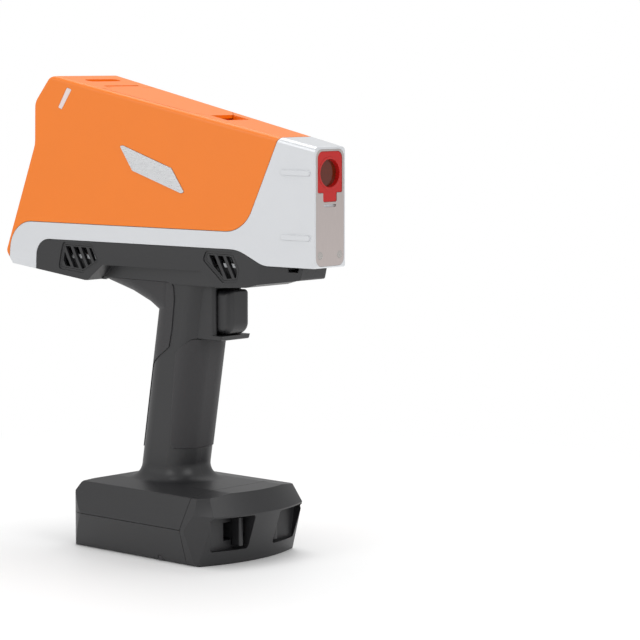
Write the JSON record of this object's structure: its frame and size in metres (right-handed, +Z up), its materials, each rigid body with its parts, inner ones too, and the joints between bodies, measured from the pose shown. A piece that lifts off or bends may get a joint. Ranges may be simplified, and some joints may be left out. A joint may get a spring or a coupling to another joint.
{
  "type": "handheld xrf analyzer",
  "caption": "Pistol-grip handheld X-ray fluorescence analyzer with orange head, measuring nose, tilted touchscreen, trigger and battery in the foot.",
  "frame": {"origin": "on the table under the middle of the analyzer's box", "axes": "+X towards the measuring nose, +Y to the left, +Z up"},
  "size_m": [0.242, 0.0896, 0.2889],
  "materials": {
    "upper_cover": "fine satin, moulded orange",
    "nose_housing": "satin silver lacquer",
    "shell": "fine grained black moulding",
    "grip_rubber": "soft over-moulding",
    "vent": "fine grained black moulding",
    "nose_steel": "brushed stainless",
    "carrier_red": "anodised red look, semi gloss",
    "film": "amber polyimide film",
    "touch_glass": "black bonded glass",
    "bezel": "fine grained black moulding",
    "key": "silicone key",
    "lens": "frosted clear lens",
    "badge": "bare silver plate",
    "seal": "foam rubber",
    "screw": "stainless",
    "steel": "bright steel",
    "aluminium": "milled",
    "circuit": "solder mask",
    "module": "sheet metal can",
    "brass": "gold plated",
    "battery": "fine grained black moulding"
  },
  "bodies": {
    "analyzer_body": {"upper_cover": "upper_cover", "nose_housing": "nose_housing", "grip_shell_left": "shell", "grip_shell_right": "shell", "foot_base": "shell", "front_grip_insert": "grip_rubber", "rear_grip_insert": "grip_rubber", "vent_grille_rear_left": "vent", "vent_grille_rear_right": "vent", "vent_grille_front_left": "vent", "vent_grille_front_right": "vent", "nose_plate": "nose_steel", "nose_plate_screws": "screw", "display_bezel": "bezel", "touch_glass": "touch_glass", "display_gasket": "seal", "display_module": "module", "keypad_board": "circuit", "status_window_left": "lens", "status_window_right": "lens", "name_plate_left": "badge", "name_plate_right": "badge", "door_hinge_pin": "steel", "port_tray": "bezel", "usb_sockets": "steel", "shell_screws": "screw", "sole_screws": "screw", "battery_terminal_block": "bezel", "trigger_switch": "bezel", "trigger_spring": "steel", "chassis": "aluminium", "high_voltage_supply": "module", "main_board": "circuit", "heat_sink": "aluminium", "measurement_block": "aluminium", "x_ray_tube": "steel", "detector": "steel", "tube_cradle": "aluminium"},
    "port_door": {"port_door": "upper_cover", "door_seal": "seal"},
    "window_carrier": {"window_carrier": "carrier_red", "window_film": "film"},
    "trigger": {"trigger": "shell"},
    "battery_pack": {"battery_case": "battery", "battery_cap": "battery", "battery_contacts": "brass"},
    "battery_latch_left": {"battery_latch_left": "battery"},
    "battery_latch_right": {"battery_latch_right": "battery"},
    "power_button": {"power_button": "key"},
    "left_key": {"left_key": "key"},
    "home_key": {"home_key": "key"},
    "right_key": {"right_key": "key"}
  },
  "joints": [
    {"name": "port_door_hinge", "type": "hinge", "parent": "analyzer_body", "child": "port_door", "pos_m": [-0.05207, 0, 0.2802], "axis": [0, -1, 0], "range_deg": [0, 90]},
    {"name": "window_release", "type": "slide", "parent": "analyzer_body", "child": "window_carrier", "axis": [1, 0, 0], "range_m": [0, 0.02]},
    {"name": "trigger_pull", "type": "slide", "parent": "analyzer_body", "child": "trigger", "axis": [-1, 0, 0], "range_m": [0, 0.005], "stiffness_N_per_m": 900, "deforming": ["trigger_spring"]},
    {"name": "battery_slide", "type": "slide", "parent": "analyzer_body", "child": "battery_pack", "axis": [1, 0, 0], "range_m": [0, 0.11]},
    {"name": "battery_latch_left_press", "type": "slide", "parent": "battery_pack", "child": "battery_latch_left", "axis": [0, -1, 0], "range_m": [0, 0.0023], "stiffness_N_per_m": 800},
    {"name": "battery_latch_right_press", "type": "slide", "parent": "battery_pack", "child": "battery_latch_right", "axis": [0, 1, 0], "range_m": [0, 0.0023], "stiffness_N_per_m": 800},
    {"name": "power_button_press", "type": "slide", "parent": "analyzer_body", "child": "power_button", "axis": [0.9551, 0, -0.2963], "range_m": [0, 0.0006], "stiffness_N_per_m": 1500},
    {"name": "left_key_press", "type": "slide", "parent": "analyzer_body", "child": "left_key", "axis": [0.9551, 0, -0.2963], "range_m": [0, 0.0006], "stiffness_N_per_m": 1500},
    {"name": "home_key_press", "type": "slide", "parent": "analyzer_body", "child": "home_key", "axis": [0.9551, 0, -0.2963], "range_m": [0, 0.0006], "stiffness_N_per_m": 1500},
    {"name": "right_key_press", "type": "slide", "parent": "analyzer_body", "child": "right_key", "axis": [0.9551, 0, -0.2963], "range_m": [0, 0.0006], "stiffness_N_per_m": 1500}
  ]
}
